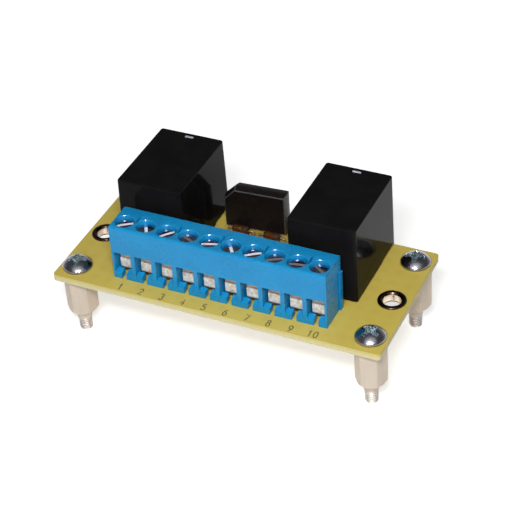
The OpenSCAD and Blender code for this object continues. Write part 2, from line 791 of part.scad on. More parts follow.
module board_screw(c) {
    r = screw_head_d / 2;
    dome_h = screw_head_h - screw_rim_h;
    dome_r = (r * r + dome_h * dome_h) / (2 * dome_h);
    color(steel_colour)
    on_board()
    translate([fixings[c][0], fixings[c][1], 0])
    difference() {
        union() {
            cylinder(r = r, h = screw_rim_h);
            rotate_extrude()
            intersection() {
                translate([0, screw_head_h - dome_r]) circle(dome_r, $fn = 96);
                translate([0, screw_rim_h - eps]) square([r, dome_h + 2 * eps]);
            }
            stem(tapped_d - 2 * thread_gap, screw_len, tip_chamfer);
        }
        rotate(recess_turns[c])
        for (a = [0, 90]) rotate(a)
            strip(cross_span, -cross_w / 2, cross_w / 2, screw_head_h - cross_depth, screw_head_h + eps);
    }
}

module standoff(c) {
    corner_r = standoff_af / 2 / cos(30);
    end_r = standoff_end_d / 2;
    color(standoff_colour)
    translate([fixings[c][0], fixings[c][1], stud_len])
    difference() {
        union() {
            intersection() {
                rotate(standoff_turns[c] + 30) cylinder(r = corner_r, h = standoff_len, $fn = 6);
                union() {
                    cylinder(r1 = end_r, r2 = corner_r, h = standoff_cone_h);
                    translate([0, 0, standoff_cone_h])
                        cylinder(r = corner_r + 1, h = standoff_len - standoff_cone_h);
                }
            }
            translate([0, 0, eps]) stem(thread_d, stud_len + eps, tip_chamfer);
        }
        translate([0, 0, standoff_len - tapped_depth])
            cylinder(d = tapped_d, h = tapped_depth + eps);
    }
}

circuit_board();
copper_tracks();
solder_joints();
for (n = [1:block_count])
    terminal_housing(n);
for (n = [1:pole_count])
    terminal_contact(n);
for (n = [1:pole_count])
    terminal_clamp(n);
for (n = [1:pole_count])
    terminal_screw(n);
for (i = [0:1])
    relay_cover(i);
for (i = [0:1])
    relay_base(i);
for (i = [0:1])
    relay_pins(i);
rectifier_body();
rectifier_leads();
for (i = [0:1])
    coil_diode(i);
diode_leads();
for (i = [0:1])
    eyelet(i);
for (c = [0:3])
    board_screw(c);
for (c = [0:3])
    standoff(c);
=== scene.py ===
from functools import partial
from math import cos, pi, radians, sin

import bmesh
import bpy
import numpy as np
from mathutils import Matrix, Vector


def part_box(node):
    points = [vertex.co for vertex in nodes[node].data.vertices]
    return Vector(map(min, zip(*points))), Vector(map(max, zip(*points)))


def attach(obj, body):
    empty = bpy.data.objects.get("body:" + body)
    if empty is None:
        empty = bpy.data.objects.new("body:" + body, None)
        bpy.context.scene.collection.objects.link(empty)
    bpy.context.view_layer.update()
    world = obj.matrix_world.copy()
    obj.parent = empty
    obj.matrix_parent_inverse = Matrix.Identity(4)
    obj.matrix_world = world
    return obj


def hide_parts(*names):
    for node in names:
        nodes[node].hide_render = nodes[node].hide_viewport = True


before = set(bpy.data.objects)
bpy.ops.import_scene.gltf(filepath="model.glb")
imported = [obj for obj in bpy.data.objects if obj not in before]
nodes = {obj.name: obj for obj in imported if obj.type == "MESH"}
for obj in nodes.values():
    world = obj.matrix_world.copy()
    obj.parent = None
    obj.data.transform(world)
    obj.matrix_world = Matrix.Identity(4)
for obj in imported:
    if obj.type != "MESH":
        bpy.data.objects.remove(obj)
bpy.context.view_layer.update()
mm = 0.001
scene = bpy.context.scene
scene.view_settings.view_transform = "Standard"
sides = ("left", "right")
corners = ("front_left", "front_right", "back_left", "back_right")


def boxOf(name):
    # lowest and highest corner of a frame node, in millimetres
    low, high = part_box(name)
    return np.array(low) / mm, np.array(high) / mm


def middleOf(name):
    # halfway between those two corners
    low, high = boxOf(name)
    return (low + high) / 2


boardLow, boardHigh = boxOf("circuit_board")
boardTop, boardUnder = boardHigh[2], boardLow[2]
print("frame loaded, board top at", round(float(boardTop), 3), "mm")

# camera, stage and lamps

viewpoint = {
    "azimuth": 26.8993, "elevation": 37.3217, "roll": -4.0322,  # degrees
    "distance": 389.774, "aim": (-0.106, 4.269),  # mm
    "lens": 124.424, "sensor": 36.0, "clip": (0.01, 20),  # the clip in metres
}


def placeCamera(view):
    # looks back along the line from the aim to the eye, turned about that line by the roll
    turn, rise, roll = (radians(view[k]) for k in ("azimuth", "elevation", "roll"))
    back = Vector((sin(turn) * cos(rise), -cos(turn) * cos(rise), sin(rise)))
    level = Vector((cos(turn), sin(turn), 0))
    upright = back.cross(level)
    right = cos(roll) * level + sin(roll) * upright
    up = cos(roll) * upright - sin(roll) * level
    eye = Vector((*view["aim"], boardTop)) + back * view["distance"]
    lens = bpy.data.cameras.new("camera")
    lens.lens, lens.sensor_width = view["lens"], view["sensor"]
    lens.clip_start, lens.clip_end = view["clip"]
    camera = bpy.data.objects.new("camera", lens)
    scene.collection.objects.link(camera)
    camera.matrix_world = Matrix.Translation(eye * mm) @ Matrix((right, up, back)).transposed().to_4x4()
    scene.camera = camera


def plug(tree, kind, inputs=None, **options):
    # one shader node, with its options set and its inputs linked or filled in
    made = tree.nodes.new("ShaderNode" + kind)
    for key, value in options.items():
        setattr(made, key, value)
    for key, value in (inputs or {}).items():
        if isinstance(value, bpy.types.NodeSocket):
            tree.links.new(value, made.inputs[key])
        else:
            made.inputs[key].default_value = value
    return made


def reckon(tree, operation, *values):
    # one step of arithmetic on sockets or numbers
    return plug(tree, "Math", dict(enumerate(values)), operation=operation).outputs[0]


def lengthOf(tree, spot):
    # the distance of a place from the origin
    return plug(tree, "VectorMath", {0: spot}, operation="LENGTH").outputs["Value"]


def rangeOf(tree, value, low, high, fromLow=0.3, fromHigh=0.7):
    # a value carried from one range over to another, held at both ends; noise mostly lies in 0.3 to 0.7
    return plug(tree, "MapRange", {"Value": value, "From Min": fromLow, "From Max": fromHigh,
                                   "To Min": low, "To Max": high}).outputs[0]


def seenDirectly(tree):
    # 1 where the camera, a mirror or glass looks, 0 for light on its way
    path = plug(tree, "LightPath")
    first = reckon(tree, "MAXIMUM", path.outputs["Is Camera Ray"], path.outputs["Is Glossy Ray"])
    return reckon(tree, "MAXIMUM", first, path.outputs["Is Transmission Ray"])


stage = {
    "floorTone": 0.8, "floorSize": 3000,
    "glow": (0.62, 1.0), "glowReach": (70, 320),  # mm from the middle
    "skyTone": 0.36, "skyTop": 0.1,
    "skyRise": 0.55, "whiteBelow": (0.03, 0.2),  # heights on a ball of one
}


def layFloor(look):
    # a square of matt paper; only direct looks see its glow, which grows with the way from the middle
    half = look["floorSize"] / 2 * mm
    rim = [(-half, -half, 0), (half, -half, 0), (half, half, 0), (-half, half, 0)]
    mesh = bpy.data.meshes.new("floor")
    mesh.from_pydata(rim, [], [(0, 1, 2, 3)])
    floor = bpy.data.objects.new("floor", mesh)
    scene.collection.objects.link(floor)
    paper = bpy.data.materials.new("floor paper")
    paper.use_nodes = True
    tree = paper.node_tree
    tree.nodes.clear()
    matt = plug(tree, "BsdfDiffuse", {"Color": (look["floorTone"],) * 3 + (1,)})
    glow = plug(tree, "Emission", {"Color": (1, 1, 1, 1)})
    away = lengthOf(tree, plug(tree, "TexCoord").outputs["Object"])
    whiter = rangeOf(tree, away, *look["glow"], *(reach * mm for reach in look["glowReach"]))
    shown = reckon(tree, "MULTIPLY", seenDirectly(tree), whiter)
    tree.links.new(shown, glow.inputs["Strength"])
    both = plug(tree, "AddShader", {0: matt.outputs[0], 1: glow.outputs[0]})
    plug(tree, "OutputMaterial", {"Surface": both.outputs[0]})
    mesh.materials.append(paper)


def hangSky(look):
    # a room that darkens overhead; the eye, mirrors and glass see it white up to a low height
    world = bpy.data.worlds.new("room")
    world.use_nodes = True
    tree = world.node_tree
    tree.nodes.clear()
    way = plug(tree, "TexCoord").outputs["Generated"]
    height = plug(tree, "SeparateXYZ", {0: way}).outputs["Z"]
    dim = rangeOf(tree, height, look["skyTone"], look["skyTop"], 0.0, look["skyRise"])
    band = rangeOf(tree, height, 1.0, 0.0, *look["whiteBelow"])
    pick = reckon(tree, "MULTIPLY", seenDirectly(tree), band)
    room = plug(tree, "Background", {"Color": (1, 1, 1, 1), "Strength": dim})
    white = plug(tree, "Background", {"Color": (1, 1, 1, 1), "Strength": 1.0})
    both = plug(tree, "MixShader", {0: pick, 1: room.outputs[0], 2: white.outputs[0]})
    plug(tree, "OutputWorld", {"Surface": both.outputs[0]})
    scene.world = world


lamps = {  # azimuth and elevation in degrees, distance, width and height in mm, strength in watts
    "keyLamp": {"azimuth": 22, "elevation": 46, "distance": 330, "size": (100, 42), "power": 0.8},
    "softCard": {"azimuth": 24, "elevation": 58, "distance": 600, "size": (760, 600), "power": 0.6},
    "frontCard": {"azimuth": 10, "elevation": 18, "distance": 600, "size": (420, 420), "power": 0.16},
}


def hangLamps(settings):
    # each oval lamp hangs its distance along its way from the board's middle, and faces back
    for name, lamp in settings.items():
        turn, rise = radians(lamp["azimuth"]), radians(lamp["elevation"])
        way = Vector((sin(turn) * cos(rise), -cos(turn) * cos(rise), sin(rise)))
        light = bpy.data.lights.new(name, "AREA")
        light.shape, light.energy = "ELLIPSE", lamp["power"]
        light.size, light.size_y = (side * mm for side in lamp["size"])
        hung = bpy.data.objects.new(name, light)
        scene.collection.objects.link(hung)
        hung.location = Vector((0, 0, boardTop)) * mm + way * lamp["distance"] * mm
        hung.rotation_euler = way.to_track_quat("Z", "Y").to_euler()


placeCamera(viewpoint)
layFloor(stage)
hangSky(stage)
hangLamps(lamps)
print("camera, floor, room and lamps set")

# finishes


def startFinish(name):
    # an empty material and the places that its patterns can follow
    finish = bpy.data.materials.new(name)
    finish.use_nodes = True
    finish.node_tree.nodes.clear()
    return finish, finish.node_tree, plug(finish.node_tree, "TexCoord").outputs


def endFinish(finish, look, tone, rough, relief):
    # one principled shader, with the look's plain numbers or the usual ones
    tree = finish.node_tree
    shader = plug(tree, "BsdfPrincipled", {
        "Base Color": tone, "Roughness": rough, "Normal": relief,
        "Metallic": look.get("metal", 0.0), "IOR": look.get("ior", 1.5),
        "Specular IOR Level": look.get("gloss", 0.5), "Coat Weight": look.get("coat", 0.0),
        "Coat Roughness": 0.1, "Transmission Weight": look.get("clear", 0.0)})
    plug(tree, "OutputMaterial", {"Surface": shader.outputs[0]})
    return finish


def noiseOf(tree, place, size, detail=3.0, stretch=(1, 1, 1)):
    # noise whose blots are about size millimetres across, drawn out by stretch
    where = plug(tree, "Mapping", {"Vector": place, "Scale": stretch})
    return plug(tree, "TexNoise", {"Vector": where.outputs[0], "Scale": 1 / (size * mm),
                                   "Detail": detail, "Roughness": 0.6}).outputs["Fac"]


def toneOf(tree, factor, first, second):
    # between two colours, each of them a triple or a socket
    return plug(tree, "Mix", {0: factor, 6: (*first, 1) if isinstance(first, tuple) else first,
                              7: (*second, 1) if isinstance(second, tuple) else second},
                data_type="RGBA").outputs[2]


def patternsOf(tree, spot, look):
    # colour drifts between two tones in patches, and roughness between two values with the wear
    stretch = look.get("stretch", (1, 1, 1))
    drift = noiseOf(tree, spot, look["patch"], 4.0, stretch)
    wear = noiseOf(tree, spot, look["wear"], 5.0, stretch)
    tone = toneOf(tree, rangeOf(tree, drift, 0, 1, 0.35, 0.65), look["tone"], look["tone2"])
    return tone, rangeOf(tree, wear, *look["rough"])


def bumpOf(tree, height, lift, under=None):
    # a relief whose full height is lift millimetres, over another one if there is one
    relief = plug(tree, "Bump", {"Height": height, "Distance": lift * mm, "Strength": 1.0})
    if under is not None:
        tree.links.new(under, relief.inputs["Normal"])
    return relief.outputs[0]


usualLook = {"patch": 0.8, "wear": 0.4, "grain": 0.15, "stretch": (1, 1, 1)}


def mottled(name, look):
    # the usual patterns, a fine grain; painted glints, painted shade at the foot, slow hollows where asked
    # for
    look = {**usualLook, **look}
    finish, tree, place = startFinish(name)
    spot = place["Object"]
    tone, rough = patternsOf(tree, spot, look)
    # painted glints: bright specks mixed into the colour
    if "paintedGlint" in look:
        glintNoise = noiseOf(tree, spot, look["paintedGlintSize"], 1.0)
        share = rangeOf(tree, glintNoise, 0, look["paintedGlintMost"], *look["paintedGlintSpan"])
        tone = toneOf(tree, share, tone, look["paintedGlint"])
    # painted shade: the piece darkens to the foot colour over its lowest part
    if "foot" in look:
        height = plug(tree, "SeparateXYZ", {0: spot}).outputs["Z"]
        rim = rangeOf(tree, height, 1.0, 0.0, look["footZ"] * mm, (look["footZ"] + look["footTall"]) * mm)
        tone = toneOf(tree, rim, tone, look["foot"])
    hollow = None
    if "wave" in look:
        hollow = bumpOf(tree, noiseOf(tree, spot, look["wave"], 1.0), look["waveLift"])
    grain = noiseOf(tree, spot, look["grain"], 3.0, look["stretch"])
    return endFinish(finish, look, tone, rough, bumpOf(tree, grain, look["lift"], hollow))


def laminateFinish(name, look):
    # two crossed bands of glass cloth under the resin, whose sine repeats every 2 pi threads, an oval
    # of painted shade round the diodes, where the terminal row and the rectifier shade the board, that
    # thins out towards its ragged rim, and sawn edges that pale downwards
    finish, tree, place = startFinish(name)
    spot = place["Object"]
    threads = [plug(tree, "TexWave", {
        "Vector": spot, "Scale": 1 / (look["thread"] * mm) / 20, "Distortion": 1.2,  # 20 is its own factor
        "Detail": 2.0, "Detail Scale": 3.0}, bands_direction=way).outputs["Fac"] for way in ("X", "Y")]
    weave = reckon(tree, "MULTIPLY", *threads)
    cloudy = noiseOf(tree, spot, look["patch"], 5.0)
    tone = toneOf(tree, rangeOf(tree, cloudy, 0, 1), look["tone"], look["tone2"])
    weaved = toneOf(tree, rangeOf(tree, weave, 0, look["weaveMost"], 0, 1), tone, look["weaveTone"])
    # painted shade: an oval of the board between the terminal row and the rectifier is darkened
    shift = [-at / half for at, half in zip(look["paintedShadeAt"], look["paintedShadeHalf"])]
    scale = [1 / (half * mm) for half in look["paintedShadeHalf"]]
    oval = plug(tree, "Mapping", {"Vector": spot, "Location": (*shift, 0), "Scale": (*scale, 0)}).outputs[0]
    away = lengthOf(tree, oval)
    blots = noiseOf(tree, spot, look["paintedShadePatch"])
    creep = rangeOf(tree, blots, -look["paintedShadeCreep"], look["paintedShadeCreep"])
    paintedShade = rangeOf(tree, reckon(tree, "ADD", away, creep), look["paintedShadeMost"], 0, *look["paintedShadeSpan"])
    weaved = toneOf(tree, paintedShade, weaved, look["paintedShadeTone"])
    face = plug(tree, "SeparateXYZ", {0: place["Normal"]}).outputs["Z"]
    flat = reckon(tree, "ABSOLUTE", face)
    sawn = noiseOf(tree, spot, look["sawn"], 4.0, look["sawnStretch"])
    height = plug(tree, "SeparateXYZ", {0: spot}).outputs["Z"]
    lower = rangeOf(tree, height, 1.0, 0.0, (boardUnder + look["edgePale"]) * mm, boardTop * mm)
    paled = rangeOf(tree, reckon(tree, "ADD", sawn, lower), 0, 1, *look["edgeSpan"])
    edge = toneOf(tree, paled, look["edgeTone"], look["edgeTone2"])
    upright = rangeOf(tree, flat, 1, 0)
    tone = toneOf(tree, upright, weaved, edge)
    sheen = rangeOf(tree, noiseOf(tree, spot, look["wear"], 5.0), *look["rough"])
    rough = plug(tree, "Mix", {0: upright, 2: sheen, 3: look["edgeRough"]}, data_type="FLOAT").outputs[0]
    return endFinish(finish, look, tone, rough, bumpOf(tree, weave, look["lift"]))


def turnedFinish(name, look):
    # the usual patterns, with the lathe's fine rings as bands across the piece's own map
    finish, tree, place = startFinish(name)
    rings = plug(tree, "TexWave", {"Vector": place["UV"], "Scale": look["rings"], "Distortion": 2.0,
                                   "Detail": 3.0}, bands_direction="Y").outputs["Fac"]
    tone, rough = patternsOf(tree, place["Object"], look)
    return endFinish(finish, look, tone, rough, bumpOf(tree, rings, look["lift"]))


finishLooks = {  # patches, wear, grain, lifts and heights in mm; metal, gloss, coat and clear as shares
    "copper": {"tone": (0.52, 0.24, 0.1), "tone2": (0.4, 0.17, 0.07), "patch": 4.0, "metal": 0.9,
        "rough": (0.25, 0.5), "wear": 1.2, "grain": 0.2, "lift": 0.004, "coat": 0.4},
    "solder": {"tone": (0.6, 0.6, 0.58), "tone2": (0.45, 0.45, 0.44), "patch": 0.9, "metal": 1.0,
        "rough": (0.2, 0.5), "wear": 0.5, "grain": 0.25, "lift": 0.02},
    "bluePlastic": {"tone": (0.008, 0.245, 0.53), "tone2": (0.01, 0.27, 0.57), "patch": 6.0,
        "rough": (0.24, 0.34), "wear": 1.5, "grain": 0.2, "lift": 0.001, "gloss": 0.28, "wave": 5.0,
        "waveLift": 0.02},
    "tinned": {"tone": (0.82, 0.77, 0.7), "tone2": (0.62, 0.55, 0.47), "patch": 0.9, "metal": 0.5,
        "rough": (0.3, 0.5), "lift": 0.01},
    # the clamp cage's foot colour is painted shade under its apron
    "cageBright": {"tone": (0.95, 0.94, 0.92), "tone2": (0.62, 0.52, 0.44), "metal": 0.4,
        "rough": (0.28, 0.5), "grain": 0.25, "lift": 0.03, "foot": (0.03, 0.018, 0.015),
        "footTall": 0.45, "footZ": boxOf("terminal_clamp_1")[0][2] + 0.25},
    "leadDull": {"tone": (0.5, 0.38, 0.26), "tone2": (0.34, 0.25, 0.17), "metal": 0.7,
        "rough": (0.35, 0.5), "lift": 0.006},
    "tongueBronze": {"tone": (0.66, 0.46, 0.38), "tone2": (0.46, 0.3, 0.24), "metal": 0.5,
        "rough": (0.35, 0.5), "grain": 0.2, "lift": 0.01},
    "coverBlack": {"tone": (0.007, 0.0065, 0.007), "tone2": (0.01, 0.009, 0.009), "patch": 5.0,
        "rough": (0.06, 0.13), "wear": 3.0, "grain": 0.3, "lift": 0.0006, "gloss": 0.032, "wave": 7.0,
        "waveLift": 0.03},
    # a pale finish on the black vent bars, painted as their highlight
    "ventPaintedHighlight": {"tone": (0.58, 0.56, 0.66), "tone2": (0.44, 0.42, 0.52), "patch": 0.5,
        "rough": (0.3, 0.45), "grain": 0.1, "lift": 0.003},
    "epoxyBlack": {"tone": (0.0045, 0.0035, 0.004), "tone2": (0.014, 0.009, 0.009), "rough": (0.3, 0.42),
        "wear": 1.0, "grain": 0.35, "lift": 0.01, "gloss": 0.28},
    # a lighter copy of the black epoxy for the rounded edges, painted as their highlight
    "epoxyPaintedHighlight": {"tone": (0.075, 0.07, 0.072), "tone2": (0.05, 0.047, 0.048), "patch": 1.5,
        "rough": (0.3, 0.42), "wear": 1.0, "grain": 0.35, "lift": 0.01, "gloss": 0.4},
    "hexNickel": {"tone": (0.65, 0.56, 0.46), "tone2": (0.59, 0.5, 0.41), "patch": 2.5, "metal": 0.25,
        "rough": (0.45, 0.62), "wear": 0.9, "lift": 0.006, "gloss": 0.4, "stretch": (1, 1, 0.15)},
    "studSteel": {"tone": (0.88, 0.84, 0.8), "tone2": (0.76, 0.7, 0.64), "metal": 0.6,
        "rough": (0.42, 0.55), "wear": 0.5, "grain": 0.1, "lift": 0.004},
    # the recess's teal tones are a painted reflection and its white specks are painted glints
    "recessPaintedGlints": {"tone": (0.42, 0.62, 0.68), "tone2": (0.06, 0.12, 0.17), "patch": 0.5, "metal": 0.8,
        "rough": (0.14, 0.34), "wear": 0.3, "grain": 0.3, "lift": 0.1, "paintedGlint": (1.0, 1.0, 1.0),
        "paintedGlintSize": 0.35, "paintedGlintMost": 0.75, "paintedGlintSpan": (0.52, 0.62)},
    "wellBlue": {"tone": (0.008, 0.245, 0.53), "tone2": (0.01, 0.27, 0.57), "patch": 4.0,
        "rough": (0.15, 0.24), "wear": 0.8, "grain": 0.3, "lift": 0.001, "gloss": 0.55},
    # a darker copy of the stud's steel for the thread's grooves, painted shade
    "studGrooveShade": {"tone": (0.3, 0.25, 0.21), "tone2": (0.2, 0.16, 0.13), "patch": 0.6, "metal": 0.7,
        "rough": (0.35, 0.5), "grain": 0.1, "lift": 0.004},
    # the slot floors are painted near white as a painted highlight; the darker copy is the same floor in
    # painted shade
    "slotPaintedShade": {"tone": (0.42, 0.38, 0.38), "tone2": (0.26, 0.24, 0.26), "patch": 0.5, "metal": 0.4,
        "rough": (0.3, 0.45), "wear": 0.3, "lift": 0.02},
    "slotPaintedHighlight": {"tone": (0.9, 0.9, 0.94), "tone2": (0.78, 0.76, 0.8), "patch": 0.5, "metal": 0.2,
        "rough": (0.3, 0.45), "wear": 0.3, "lift": 0.01},
    # the eyelet is one metal: the flange's near-black tone is partly a blackened finish and partly a painted
    # dark reflection, and the bore wall's light tone is painted light
    "flangeBlackAndPaintedReflection": {"tone": (0.055, 0.035, 0.028), "tone2": (0.1, 0.06, 0.045), "metal": 1.0,
        "rough": (0.15, 0.3), "wear": 0.5, "lift": 0.004},
    "barrelPaintedLit": {"tone": (0.8, 0.7, 0.56), "tone2": (0.66, 0.55, 0.42), "metal": 1.0,
        "rough": (0.22, 0.4), "wear": 0.5, "grain": 0.2, "lift": 0.006},
    "amberGlass": {"tone": (0.42, 0.17, 0.04), "tone2": (0.3, 0.1, 0.02), "patch": 1.5, "clear": 0.85,
        "rough": (0.04, 0.1), "wear": 1.0, "grain": 0.3, "lift": 0.001, "ior": 1.52},
    "slugRed": {"tone": (0.14, 0.055, 0.02), "tone2": (0.24, 0.1, 0.035), "patch": 0.5, "metal": 0.6,
        "rough": (0.3, 0.5), "grain": 0.2, "lift": 0.004},
    "bandBlack": {"tone": (0.02, 0.016, 0.014), "tone2": (0.035, 0.028, 0.024), "patch": 0.4,
        "rough": (0.4, 0.6), "grain": 0.1, "lift": 0.003},
    "ink": {"tone": (0.075, 0.055, 0.028), "tone2": (0.14, 0.105, 0.045), "rough": (0.5, 0.7),
        "grain": 0.1, "lift": 0.002},
}
finishes = {name: mottled(name, look) for name, look in finishLooks.items()}
finishes["laminate"] = laminateFinish("laminate", {
    "tone": (0.61, 0.475, 0.09), "tone2": (0.67, 0.53, 0.11), "patch": 14.0,
    "rough": (0.28, 0.45), "wear": 3.0, "lift": 0.004, "gloss": 0.45,
    "thread": 0.55, "weaveTone": (0.5, 0.38, 0.06), "weaveMost": 0.22,
    "edgeTone": (0.6, 0.49, 0.12), "edgeTone2": (0.66, 0.6, 0.34), "edgeRough": 0.7,
    "edgePale": 0.3, "edgeSpan": (0.4, 1.4), "sawn": 0.8, "sawnStretch": (1, 1, 4),
    # the oval of painted shade round the diodes
    "paintedShadeAt": (-1.75, 8.5), "paintedShadeHalf": (10.0, 5.0), "paintedShadeTone": (0.2, 0.11, 0.02),
    "paintedShadeMost": 0.75, "paintedShadeSpan": (0.3, 1.2), "paintedShadePatch": 2.5, "paintedShadeCreep": 0.2})
finishes["screwSteel"] = turnedFinish("screwSteel", {
    "tone": (0.42, 0.42, 0.46), "tone2": (0.28, 0.27, 0.31), "patch": 1.5, "metal": 1.0,
    "rough": (0.2, 0.28), "wear": 0.6, "rings": 9.0, "lift": 0.002})
finishes["clampScrewSteel"] = turnedFinish("clampScrewSteel", {
    "tone": (0.46, 0.46, 0.58), "tone2": (0.24, 0.22, 0.34), "patch": 0.9, "metal": 1.0,
    "rough": (0.06, 0.14), "wear": 0.5, "rings": 7.0, "lift": 0.001})
print("finishes mixed:", len(finishes))

# making pieces


def skin(name, patches, finish, body, slotName, **extra):
    # grids of points in millimetres become one welded mesh with outward faces
    points, faces, maps, count = [], [], [], 0
    for patch in patches:
        rows, columns = patch.shape[:2]
        at = np.arange(rows * columns).reshape(rows, columns) + count
        faces.append(np.stack([at[:-1, :-1], at[1:, :-1], at[1:, 1:], at[:-1, 1:]], -1).reshape(-1, 4))
        u, v = np.meshgrid(np.linspace(0, 1, rows), np.linspace(0, 1, columns), indexing="ij")
        maps.append(np.stack([u, v], -1).reshape(-1, 2))
        points.append(patch.reshape(-1, 3) * mm)
        count += rows * columns
    points, faces, maps = np.concatenate(points), np.concatenate(faces), np.concatenate(maps)
    mesh = bpy.data.meshes.new(name)
    mesh.from_pydata(points, [], faces)
    mesh.uv_layers.new(name="map").data.foreach_set("uv", maps[faces.ravel()].ravel())
    close(mesh)
    return dress(name, mesh, finish, body, slotName, **extra)


def close(mesh, gap=1e-7):
    # merges what coincides, drops what has no area and turns the faces outwards
    work = bmesh.new()
    work.from_mesh(mesh)
    bmesh.ops.remove_doubles(work, verts=work.verts, dist=gap)
    bmesh.ops.dissolve_degenerate(work, edges=work.edges, dist=gap)
    bmesh.ops.recalc_face_normals(work, faces=work.faces)
    work.to_mesh(mesh)
    work.free()


def dress(name, mesh, finish, body, slotName, stands=(), sharp=35.0, marks=None, others=()):
    # a mesh becomes a piece at the origin: its finishes, its creases past an angle, its body and the
    # nodes that it stands for; slotName is not used; marks(x, y, z) gives the number of each face's
    # finish from the place of its middle
    mesh.materials.clear()
    for each in (finish, *others):
        mesh.materials.append(finishes[each])
    mesh.shade_smooth()
    mesh.set_sharp_from_angle(angle=radians(sharp))
    if marks:
        middles = np.empty(len(mesh.polygons) * 3)
        mesh.polygons.foreach_get("center", middles)
        x, y, z = middles.reshape(-1, 3).T / mm
        mesh.polygons.foreach_set("material_index", np.asarray(marks(x, y, z), np.int32))
    piece = bpy.data.objects.new(name, mesh)
    scene.collection.objects.link(piece)
    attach(piece, body)
    if stands:
        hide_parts(*stands)
    return piece


def arc(middle, radius, start, end, steps=15):
    # points between two angles in degrees on a circle, or on an oval where the radius is a pair
    angle = np.radians(np.linspace(start, end, steps))
    return np.array(middle) + np.array(radius) * np.stack([np.cos(angle), np.sin(angle)], 1)


def turned(profile, middle, steps, lying=False):
    # a profile of (radius, height) carried round an upright axis, or round one along X
    profile = np.asarray(profile, float)
    angle = np.linspace(0, 2 * pi, steps + 1)[:, None]
    across, along = profile[:, 0] * np.cos(angle), profile[:, 0] * np.sin(angle)
    height = np.broadcast_to(profile[:, 1], across.shape)
    grid = np.stack([height, across, along] if lying else [across, along, height], -1)
    grid[-1] = grid[0]
    return grid + np.asarray(middle, float)


merging = {"gap": 2e-6, "flat": 0.5, "crease": 40}  # metres, then degrees between two faces


def softened(name, source, finish, body, slotName, edge, steps=2, edgeSlot=-1, **extra):
    # a merged copy of a frame node whose sharp edges are rounded over and, if asked, painted from
    # another of its finishes
    mesh = nodes[source].data.copy()
    mesh.name = name
    work = bmesh.new()
    work.from_mesh(mesh)
    bmesh.ops.remove_doubles(work, verts=work.verts, dist=merging["gap"])
    bmesh.ops.dissolve_limit(work, angle_limit=radians(merging["flat"]), verts=work.verts, edges=work.edges)
    work.to_mesh(mesh)
    work.free()
    piece = dress(name, mesh, finish, body, slotName, stands=(source,), **extra)
    bevel = piece.modifiers.new("rounded edges", "BEVEL")
    bevel.width, bevel.segments = edge * mm, steps
    bevel.limit_method, bevel.angle_limit = "ANGLE", radians(merging["crease"])
    bevel.use_clamp_overlap = True
    bevel.harden_normals = True
    bevel.material = edgeSlot
    return piece


def repaint(name, finish):
    # a frame node keeps its own mesh and takes another finish
    mesh = nodes[name].data
    mesh.materials.clear()
    mesh.materials.append(finishes[finish])


# the board, its copper and its numbers

paintedNodes = {
    "circuit_board": "laminate", "copper_tracks": "copper", "rectifier_leads": "tinned",
    "relay_pins_left": "tinned", "relay_pins_right": "tinned", "diode_leads": "leadDull",
    "relay_base_left": "epoxyBlack", "relay_base_right": "epoxyBlack",
}
for name, finish in paintedNodes.items():
    repaint(name, finish)

leads = {  # where each lead passes the board, and its radius, in mm
    "pole": {"fromBack": 0.45, "radius": 0.64},
    "relay": {"aside": 6, "commonY": 13.6, "contactY": -0.6, "coilY": 11.6,
              "radius": 0.5, "coilRadius": 0.35},
    "rectifier": {"middle": (-2.8, 13.3), "pitch": 3.81, "turn": 3.5, "radius": 0.4},
    "diodes": {"middle": (-1.75, 10.0), "apart": 3.85, "reach": 3.175, "radius": 0.25},
}
poleX = [float(middleOf(f"terminal_contact_{n}")[0]) for n in range(1, 11)]


def leadPlaces(look):
    # (x, y, radius) of one lead a pole, five a relay, four in a turned row and two a diode
    pole, relay, rectifier, diodes = look["pole"], look["relay"], look["rectifier"], look["diodes"]
    poleY = float(boxOf("terminal_contact_1")[1][1]) - pole["fromBack"]
    places = [(x, poleY, pole["radius"]) for x in poleX]
    for side in sides:
        x = float(middleOf(f"relay_cover_{side}")[0])
        places.append((x, relay["commonY"], relay["radius"]))
        for row, radius in (("contactY", "radius"), ("coilY", "coilRadius")):
            places += [(x + s * relay["aside"], relay[row], relay[radius]) for s in (-1, 1)]
    turn, (x, y) = radians(rectifier["turn"]), rectifier["middle"]
    for step in (-1.5, -0.5, 0.5, 1.5):
        along = step * rectifier["pitch"]
        places.append((x + along * cos(turn), y + along * sin(turn), rectifier["radius"]))
    x, y = diodes["middle"]
    for s in (-1, 1):
        places += [(x + s * diodes["apart"] + t * diodes["reach"], y, diodes["radius"]) for t in (-1, 1)]
    return places


joint = {"height": 0.9, "spread": 0.75, "collar": 0.14, "sunk": 0.07, "rim": 0.02, "tip": (0.05, 0.06),
         "hollow": (2.2, 1.15), "steps": 20}  # the hollow as powers of the way along the lead


def solderFillet(place, look):
    # a hollow curve that climbs from the pad's rim to a collar round the lead
    x, y, lead = place
    t = np.linspace(0, 1, 9)
    foot, (inward, downward) = lead + look["collar"], look["hollow"]
    climb = np.stack([foot + look["spread"] * (1 - t) ** inward, -look["height"] * t ** downward], 1)
    tipOut, tipDown = look["tip"]
    tip = np.array([[lead + tipOut, -look["height"] - tipDown], [0, -look["height"] - tipDown]])
    rim = np.array([[0, look["rim"]], [foot + look["spread"], look["rim"]]])
    return turned(np.concatenate([rim, climb, tip]), (x, y, boardUnder - look["sunk"]), look["steps"])


skin("solder_fillets", [solderFillet(place, joint) for place in leadPlaces(leads)], "solder", "board",
     "solder", stands=("solder_joints",), sharp=50)

numerals = {"tall": 1.95, "wide": 1.0, "pen": 0.25, "thick": 0.02, "lift": 0.004, "cap": 0.3,
            "middleY": -16.86, "aside": 0.3, "gap": 1.35}


